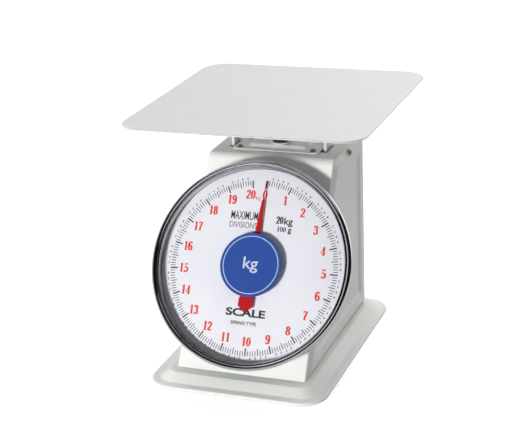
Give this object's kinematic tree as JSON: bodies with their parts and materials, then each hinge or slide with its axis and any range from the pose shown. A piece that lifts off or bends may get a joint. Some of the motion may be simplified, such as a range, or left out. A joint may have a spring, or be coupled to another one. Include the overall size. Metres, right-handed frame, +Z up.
{
  "type": "dial platform scale",
  "caption": "Mechanical spring platform scale: wedge body on a pressed base, inclined round dial with pointer, square steel platform that sinks and turns the pointer.",
  "frame": {"origin": "centre of the bounding box on the floor, under the middle of the scale", "axes": "+Z up through the platform, -Y out of the dial side towards the reader, +X to the reader's right"},
  "size_m": [0.24, 0.2854, 0.2428],
  "materials": {
    "enamel": "smooth off-white stove enamel, satin gloss",
    "platform_steel": "satin stainless sheet",
    "plate_steel": "bright plated sheet",
    "post_steel": "plated strip",
    "zinc_steel": "zinc plated, slightly mottled",
    "spring_steel": "bright drawn spring wire",
    "chrome": "mirror chrome",
    "brass": "turned brass",
    "bronze_screw": "bronzed screw heads",
    "black_plastic": "gloss black",
    "rubber": "matt black rubber",
    "dial_white": "satin white print ground",
    "disc_blue": "printed blue",
    "pointer_red": "satin red paint",
    "lens_clear": "clear, glossy"
  },
  "bodies": {
    "stand": {"base_tray": "enamel", "bezel": "chrome", "centre_disc": "disc_blue", "dial_case": "zinc_steel", "dial_plate": "dial_white", "foot_back_left": "rubber", "foot_back_right": "rubber", "foot_front_left": "rubber", "foot_front_right": "rubber", "housing_shell": "enamel", "lens": "lens_clear", "link_bracket": "zinc_steel", "lower_link_rear_pin": "brass", "mechanism_plate": "plate_steel", "movement_frame": "zinc_steel", "overload_stop": "rubber", "rack_guide": "brass", "rear_cover": "enamel", "rear_screw_high_left": "zinc_steel", "rear_screw_high_right": "zinc_steel", "rear_screw_low_left": "zinc_steel", "rear_screw_low_right": "zinc_steel", "side_panel_left": "enamel", "side_panel_right": "enamel", "side_screw_left": "bronze_screw", "side_screw_right": "bronze_screw", "top_screw_back_left": "bronze_screw", "top_screw_back_right": "bronze_screw", "top_screw_front_left": "bronze_screw", "top_screw_front_right": "bronze_screw", "upper_link_rear_pin": "brass", "zero_washer": "zinc_steel"},
    "load_carriage": {"weighing_platform": "platform_steel", "platform_spider": "zinc_steel", "platform_post_left": "post_steel", "platform_post_right": "post_steel", "load_beam": "zinc_steel", "load_stem": "zinc_steel", "rack_arm": "zinc_steel", "upper_link_front_pin": "brass", "lower_link_front_pin": "brass"},
    "upper_link": {"upper_link": "zinc_steel"},
    "lower_link": {"lower_link": "zinc_steel"},
    "rack": {"rack": "brass", "rack_pin": "brass"},
    "pointer_train": {"pinion_shaft": "brass", "pointer": "pointer_red", "pointer_hub": "brass"},
    "zero_knob": {"zero_knob": "black_plastic", "zero_screw": "zinc_steel"},
    "spring_bridge": {"spring_bridge": "zinc_steel", "main_spring_left": "spring_steel", "main_spring_right": "spring_steel"}
  },
  "joints": [
    {"name": "load_slide", "type": "slide", "parent": "stand", "child": "load_carriage", "axis": [0, 0, -1], "range_m": [0, 0.01581], "stiffness_N_per_m": 12410, "springref_m": -0.0015, "deforming": ["main_spring_left", "main_spring_right"]},
    {"name": "rack_slide", "type": "slide", "parent": "stand", "child": "rack", "axis": [0, -0.506, -0.8625], "range_m": [0, 0.01835]},
    {"name": "pointer_turn", "type": "hinge", "parent": "stand", "child": "pointer_train", "pos_m": [0, -0.0677, 0.1012], "axis": [0, 0.8625, -0.506], "range_deg": [0, 350.5]},
    {"name": "upper_link_swing", "type": "hinge", "parent": "stand", "child": "upper_link", "pos_m": [0, 0.076, 0.1001], "axis": [1, 0, 0], "range_deg": [0, 18.39]},
    {"name": "lower_link_swing", "type": "hinge", "parent": "stand", "child": "lower_link", "pos_m": [0, 0.076, 0.0361], "axis": [1, 0, 0], "range_deg": [0, 18.39]},
    {"name": "zero_turn", "type": "hinge", "parent": "stand", "child": "zero_knob", "pos_m": [0, 0.026, 0.2], "axis": [0, 0, 1], "range_deg": [-721, 721]},
    {"name": "bridge_slide", "type": "slide", "parent": "stand", "child": "spring_bridge", "axis": [0, 0, 1], "range_m": [-0.0025, 0.0025]}
  ],
  "couplings": [
    {"joint": "rack_slide", "follows": "load_slide", "ratio": 1.1594},
    {"joint": "pointer_turn", "follows": "load_slide", "rad_per_m": 386.47},
    {"joint": "upper_link_swing", "follows": "load_slide", "rad_per_m": 20.084},
    {"joint": "lower_link_swing", "follows": "load_slide", "rad_per_m": 20.084},
    {"joint": "zero_turn", "follows": "bridge_slide", "rad_per_m": -5026.6}
  ]
}
